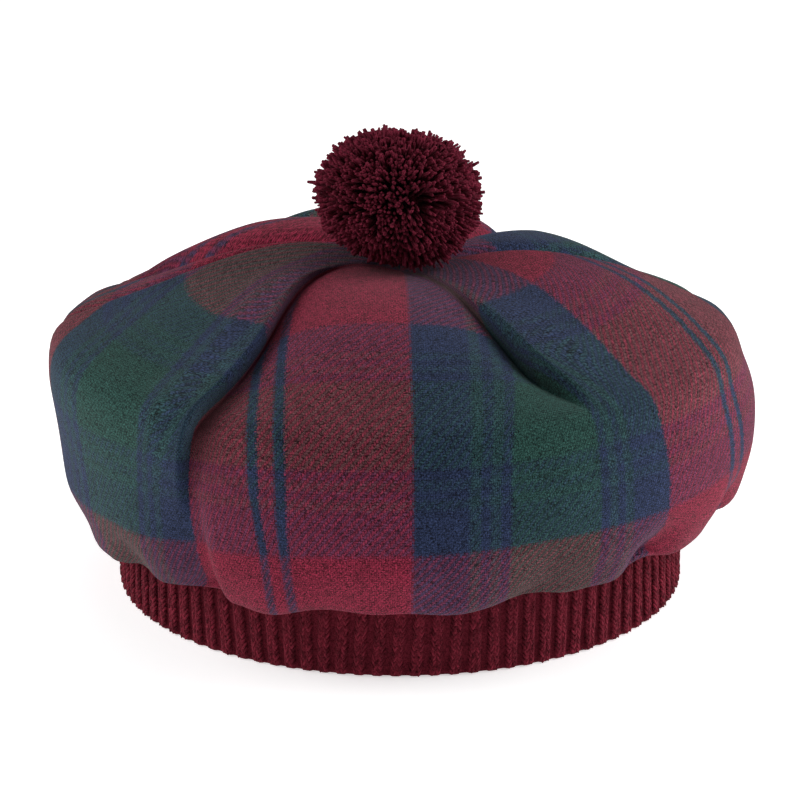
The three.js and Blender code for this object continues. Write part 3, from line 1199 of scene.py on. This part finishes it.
@dataclass(frozen=True)
class Pompom:
    """The pompom: yarn ends that spring from a tied middle and part at the two ends of the tie."""

    middle: Vector
    radius: float
    half_height: float
    strands: int = 5200
    sides: int = 4
    thickness: float = 0.52
    tie_axis: Vector = Vector((0.346, -0.892, 0.29))
    parting: float = 0.20
    parting_width: float = 24.0
    tufts: int = 95
    tuft_pull: float = 0.42
    tuft_range: tuple[float, float] = (0.2, 1.0)
    core_share: float = 0.62
    core_rows: int = 24
    core_columns: int = 48
    core_pole: float = 0.01
    fullness: float = 0.98
    flattening: float = 0.94
    unevenness: float = 0.042
    root_straying: float = 0.025
    straying: float = 0.055
    crook: float = 1.3
    slump: float = 3.5
    lumps: float = 0.07
    lump_waves: int = 8
    lump_length: float = 30.0
    lump_seed: int = 3
    rings: tuple[Ring, ...] = (
        Ring(0.42, 0.8),
        Ring(0.62, 0.95),
        Ring(0.8, 1.02),
        Ring(0.93, 1.1),
        Ring(1.0, 0.92),
    )
    start_share: float = 0.2
    bend_share: float = 0.62
    upright: float = 0.9
    thickness_range: tuple[float, float] = (0.8, 1.15)
    ply_depth: float = 0.22
    plies: int = 2
    twist: float = 5.0
    tip_length: float = 0.35
    # Painted shade: power of the darkening towards the strands' roots.
    root_shade_power: int = 3
    least_shade: float = 0.4
    seed: int = 7

    @classmethod
    def from_frame(cls) -> "Pompom":
        """Takes the pompom's place and size from its node's box."""
        low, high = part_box("pompom")
        size = (high - low) / 2 / MM
        return cls(middle=(low + high) / 2 / MM, radius=(size.x + size.y) / 2, half_height=size.z)

    def headings(self, draw: np.random.Generator) -> tuple[np.ndarray, np.ndarray]:
        """Directions of the strands at their roots and at their tips.

        The roots are spread evenly, as a spiral over the sphere. A tip's direction is turned away from
        the nearer end of the tie, by parting * exp(-(angle / width)^2), and pulled towards its tuft.

        Args:
            draw: the random draws.

        Returns:
            Root directions and tip directions, at length 1.
        """
        k = np.arange(self.strands) + 0.5
        rise = 1 - 2 * k / self.strands
        turn = k * np.pi * (3 - math.sqrt(5))
        level = np.sqrt(1 - rise**2)
        root = np.stack([level * np.cos(turn), level * np.sin(turn), rise], axis=1)
        root = unit(root + draw.normal(0, self.root_straying, root.shape))
        axis = np.array(self.tie_axis)
        along = root @ axis
        pole = np.sign(along)[:, None] * axis
        angle = np.degrees(np.arccos(np.clip(np.abs(along), 0, 1)))[:, None]
        away = root - pole * np.abs(along)[:, None]
        tip = root + unit(away + TINY) * self.parting * bell(angle / self.parting_width)
        middles = unit(draw.normal(size=(self.tufts, 3)))
        nearest = middles[np.argmax(root @ middles.T, axis=1)]
        pull = self.tuft_pull * draw.uniform(*self.tuft_range, (self.strands, 1))
        return root, unit(unit(tip) * (1 - pull) + nearest * pull + draw.normal(0, self.straying, root.shape))

    def build_core(self) -> bpy.types.Object:
        """Builds the packed middle: an ellipsoid, core_share of the pompom's size, painted darkest as shade
        deep among the roots.
        """
        rows, columns = self.core_rows, self.core_columns
        rise = np.linspace(-np.pi / 2, np.pi / 2, rows)[:, None]
        azimuth = np.arange(columns) * 360 / columns
        r = np.maximum(self.radius * self.core_share * np.cos(rise), self.core_pole)
        z = self.half_height * self.core_share * np.sin(rise)
        points = around(azimuth, r, z) + np.array(self.middle)
        core = make_object("pompom_core", points.reshape(-1, 3), [grid_faces(rows, columns)])
        # Painted shade: the core gets no tone at all, the darkest the yarn goes.
        paint_values(core, TONE_AND_SHADE, np.zeros(rows * columns))
        return core

    def build_strands(self) -> bpy.types.Object:
        """Builds the yarn ends: tubes of two twisted plies along curves from root to tip.

        A curve is (1-t)^2 root + 2t(1-t) bend + t^2 tip, drawn over its outer part only, and its bend
        strays a little. The section's radius is thickness * (1 + ply_depth cos(plies (angle - turn))). The
        lower half leans to the right, by slump at its foot.
        """
        draw = np.random.default_rng(self.seed)
        root, tip = self.headings(draw)
        reach = np.array([self.radius, self.radius, self.half_height * self.flattening])
        uneven = self.fullness + draw.normal(0, self.unevenness, (self.strands, 1))
        lumps = ripple(root * self.radius, self.lump_waves, self.lump_length, self.lump_seed)
        uneven = uneven + self.lumps * lumps[:, None]
        t = np.array([ring.place for ring in self.rings])[None, :, None]
        start = root[:, None] * reach * self.start_share
        bend = root[:, None] * reach * self.bend_share + draw.normal(0, self.crook, (self.strands, 1, 3))
        end = (tip * reach * uneven)[:, None]
        curve = (1 - t) ** 2 * start + 2 * t * (1 - t) * bend + t**2 * end
        heading = unit(2 * (1 - t) * (bend - start) + 2 * t * (end - bend))
        spare = np.where(np.abs(heading[..., 2:]) > self.upright, [1.0, 0, 0], [0, 0, 1.0])
        first = unit(np.cross(spare, heading))
        second = np.cross(heading, first)
        angle = np.arange(self.sides) * 2 * np.pi / self.sides
        turn = draw.uniform(0, 2 * np.pi, (self.strands, 1, 1)) + self.twist * t
        section = 1 + self.ply_depth * np.cos(self.plies * (angle - turn))
        width = np.array([ring.width for ring in self.rings])[None, :, None]
        size = self.thickness * draw.uniform(*self.thickness_range, (self.strands, 1, 1)) * width * section
        ring = first[:, :, None] * np.cos(angle)[:, None] + second[:, :, None] * np.sin(angle)[:, None]
        tubes = curve[:, :, None] + ring * size[..., None]
        cap = curve[:, -1] + heading[:, -1] * self.thickness * self.tip_length
        each = t.size * self.sides + 1
        points = np.concatenate([tubes.reshape(self.strands, -1, 3), cap[:, None]], axis=1)
        side = np.arange(self.sides)
        after = (side + 1) % self.sides
        base = (np.arange(t.size - 1) * self.sides)[:, None]
        quads = np.stack([base + side, base + after, base + after + self.sides, base + side + self.sides], -1)
        top = (t.size - 1) * self.sides
        fan = np.stack([top + side, top + after, np.full(self.sides, each - 1)], -1)
        faces = repeat_faces((quads.reshape(-1, 4), fan), self.strands, each)
        points = points.reshape(-1, 3)
        points[:, 0] += self.slump * stretch(-points[:, 2], 0, self.half_height)
        strands = make_object("pompom_yarn", points + np.array(self.middle), faces)
        # Painted shade: each strand darkens towards its root, deep in the ball, times a random tone for the
        # strand.
        depth = np.append(np.repeat(t.ravel() ** self.root_shade_power, self.sides), 1.0)
        paint_values(strands, TONE_AND_SHADE, draw.uniform(self.least_shade, 1, self.strands)[:, None] * depth)
        return strands

    def build(self) -> list[bpy.types.Object]:
        """Builds the core and the strands."""
        return [self.build_core(), self.build_strands()]

    def dress(self, pieces: list[bpy.types.Object], yarn: Yarn) -> None:
        """Puts the yarn on the core and the strands."""
        finish_pieces(pieces, yarn.material(), "pompom")


# --- the studio -------------------------------------------------------------------------------


@dataclass(frozen=True)
class Softbox:
    """A large soft lamp that faces the hat."""

    name: str
    azimuth: float
    elevation: float
    distance: float
    size: float
    power: float


@dataclass(frozen=True)
class Studio:
    """A plain pale floor, soft light from both sides and above, and the camera."""

    elevation: float = 19.5
    distance: float = 1.5
    lens: float = 209.0
    aim_height: float = 0.0587
    view_depth: float = 100.0
    floor_size: float = 8.0
    floor_pattern: float = 6.0
    floor_tones: tuple[float, float] = (0.88, 0.9)
    floor_roughness: float = 0.9
    sky: float = 0.17
    glow: float = 0.55
    lamps: tuple[Softbox, ...] = (
        Softbox("left", -92, 26, 1.0, 0.8, 8.0),
        Softbox("right", 92, 26, 1.0, 0.8, 10.0),
        Softbox("above", 180, 78, 1.3, 1.0, 2.2),
    )

    @staticmethod
    def direction(azimuth: float, elevation: float) -> Vector:
        """The direction from the hat to a place at an azimuth and elevation."""
        a, e = azimuth * DEGREE, elevation * DEGREE
        return Vector((math.sin(a) * math.cos(e), -math.cos(a) * math.cos(e), math.sin(e)))

    def stand(self, data: bpy.types.ID, direction: Vector, distance: float) -> bpy.types.Object:
        """Stands a camera or a lamp so that it faces the hat.

        Args:
            data: the camera or lamp.
            direction: from the hat to it.
            distance: metres from the hat.

        Returns:
            Its object.
        """
        piece = bpy.data.objects.new(data.name, data)
        piece.location = Vector((0, 0, self.aim_height)) + direction * distance
        piece.rotation_euler = (-direction).to_track_quat("-Z", "Y").to_euler()
        bpy.context.scene.collection.objects.link(piece)
        return piece

    def make_camera(self) -> None:
        """Sets up the scene's camera."""
        data = bpy.data.cameras.new("camera")
        data.lens = self.lens
        data.clip_end = self.view_depth
        bpy.context.scene.camera = self.stand(data, self.direction(0, self.elevation), self.distance)

    def make_lamp(self, box: Softbox) -> None:
        """Sets up one soft lamp.

        Args:
            box: the lamp's place, size and power.
        """
        data = bpy.data.lights.new(box.name, "AREA")
        data.energy = box.power
        data.size = box.size
        self.stand(data, self.direction(box.azimuth, box.elevation), box.distance)

    def make_floor(self) -> None:
        """Lays the floor and lights the sky over it."""
        half = self.floor_size / 2 / MM
        corners = np.array([(-half, -half, 0), (half, -half, 0), (half, half, 0), (-half, half, 0)])
        floor = make_object("floor", corners, [np.arange(4)[None]])
        tree = Tree("pale_floor")
        place = tree.node("ShaderNodeTexCoord", {}, {}).outputs["Object"]
        tone = tree.noise(place, self.floor_pattern).between(*self.floor_tones)
        paint = {"Base Color": tree.grey(tone), "Roughness": self.floor_roughness}
        paint |= {"Emission Color": WHITE, "Emission Strength": self.glow}
        shader = tree.node("ShaderNodeBsdfPrincipled", {}, paint)
        tree.material.node_tree.links.new(shader.outputs[0], tree.output.inputs[0])
        floor.data.materials.append(tree.material)
        world = bpy.data.worlds.new("sky")
        world.use_nodes = True
        colour, strength = world.node_tree.nodes["Background"].inputs[:2]
        colour.default_value = (*WHITE, 1.0)
        strength.default_value = self.sky
        bpy.context.scene.world = world

    def build(self) -> None:
        """Builds the whole studio."""
        bpy.context.scene.view_settings.view_transform = "Standard"
        self.make_camera()
        self.make_floor()
        for box in self.lamps:
            self.make_lamp(box)


def report(pieces: list[bpy.types.Object]) -> None:
    """Logs each piece's name and how many faces it has."""
    for piece in pieces:
        LOG.info("%s: %d faces", piece.name, len(piece.data.polygons))


def main() -> None:
    """Builds the studio, then the hat from the cloth up."""
    logging.basicConfig(level=logging.INFO, format="%(name)s %(message)s")
    Studio().build()
    cloth = Tartan()
    crown = Crown()
    shell = crown.build(cloth)
    crown.dress(shell, cloth)
    report([shell])
    band = Band.from_frame()
    knit = band.build()
    band.dress(knit, Yarn("rib_yarn", Dye.BURGUNDY))
    report(knit)
    pompom = Pompom.from_frame()
    ball = pompom.build()
    pompom.dress(ball, Yarn("pompom_yarn", Dye.WINE, light=2.6))
    report(ball)


if __name__ == "__main__":
    main()
